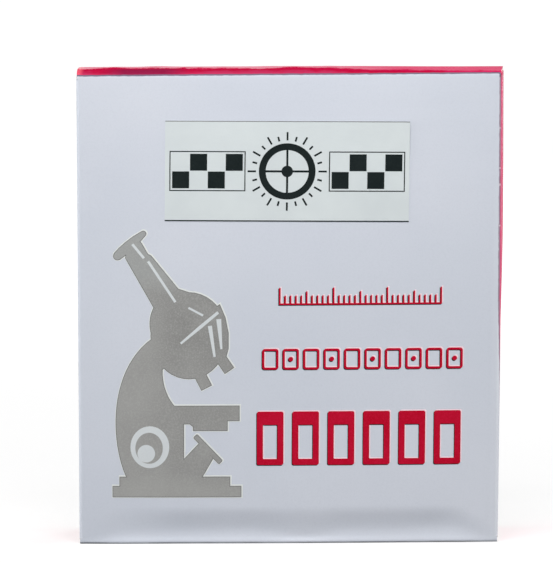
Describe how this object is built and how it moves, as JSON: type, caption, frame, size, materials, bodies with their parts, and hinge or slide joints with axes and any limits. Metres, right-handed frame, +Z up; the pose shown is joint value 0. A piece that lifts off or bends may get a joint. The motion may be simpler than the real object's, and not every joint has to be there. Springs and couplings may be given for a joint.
{
  "type": "microscope slide box",
  "caption": "Upright two-piece card box: a lid with a printed front panel slides off a tray that holds a stack of glass slides.",
  "frame": {"origin": "middle of the footprint, on the surface that the box stands on", "axes": "+X to the right of the printed front panel, +Y from the front panel to the back, +Z up"},
  "size_m": [0.081, 0.027, 0.0908],
  "materials": {
    "lid_card": "gloss",
    "tray_card": "matte",
    "label_paper": "satin",
    "slide_glass": "polished"
  },
  "bodies": {
    "tray": {"tray": "tray_card", "slides_01_02": "slide_glass", "slides_03_04": "slide_glass", "slides_05_06": "slide_glass", "slides_07_08": "slide_glass", "slides_09_10": "slide_glass", "slides_11_12": "slide_glass", "slides_13_14": "slide_glass", "slides_15_16": "slide_glass", "slides_17_18": "slide_glass", "slides_19_20": "slide_glass", "slides_21_22": "slide_glass", "slides_23_24": "slide_glass", "slides_25_26": "slide_glass", "slides_27_28": "slide_glass", "slides_29_30": "slide_glass", "slides_31_32": "slide_glass", "slides_33_34": "slide_glass", "slides_35_36": "slide_glass", "slides_37_38": "slide_glass", "slides_39_40": "slide_glass", "slides_41_42": "slide_glass", "slides_43_44": "slide_glass", "slides_45_46": "slide_glass", "slides_47_48": "slide_glass", "slides_49_50": "slide_glass", "slides_51_52": "slide_glass", "slides_53_54": "slide_glass", "slides_55_56": "slide_glass", "slides_57_58": "slide_glass", "slides_59_60": "slide_glass", "slides_61_62": "slide_glass", "slides_63_64": "slide_glass", "slides_65_66": "slide_glass", "slides_67_68": "slide_glass", "slides_69_70": "slide_glass", "slides_71_72": "slide_glass"},
    "lid": {"lid": "lid_card", "front_label": "label_paper"}
  },
  "joints": [
    {"name": "lid_off", "type": "slide", "parent": "tray", "child": "lid", "axis": [0, -1, 0], "range_m": [0, 0.03]}
  ]
}
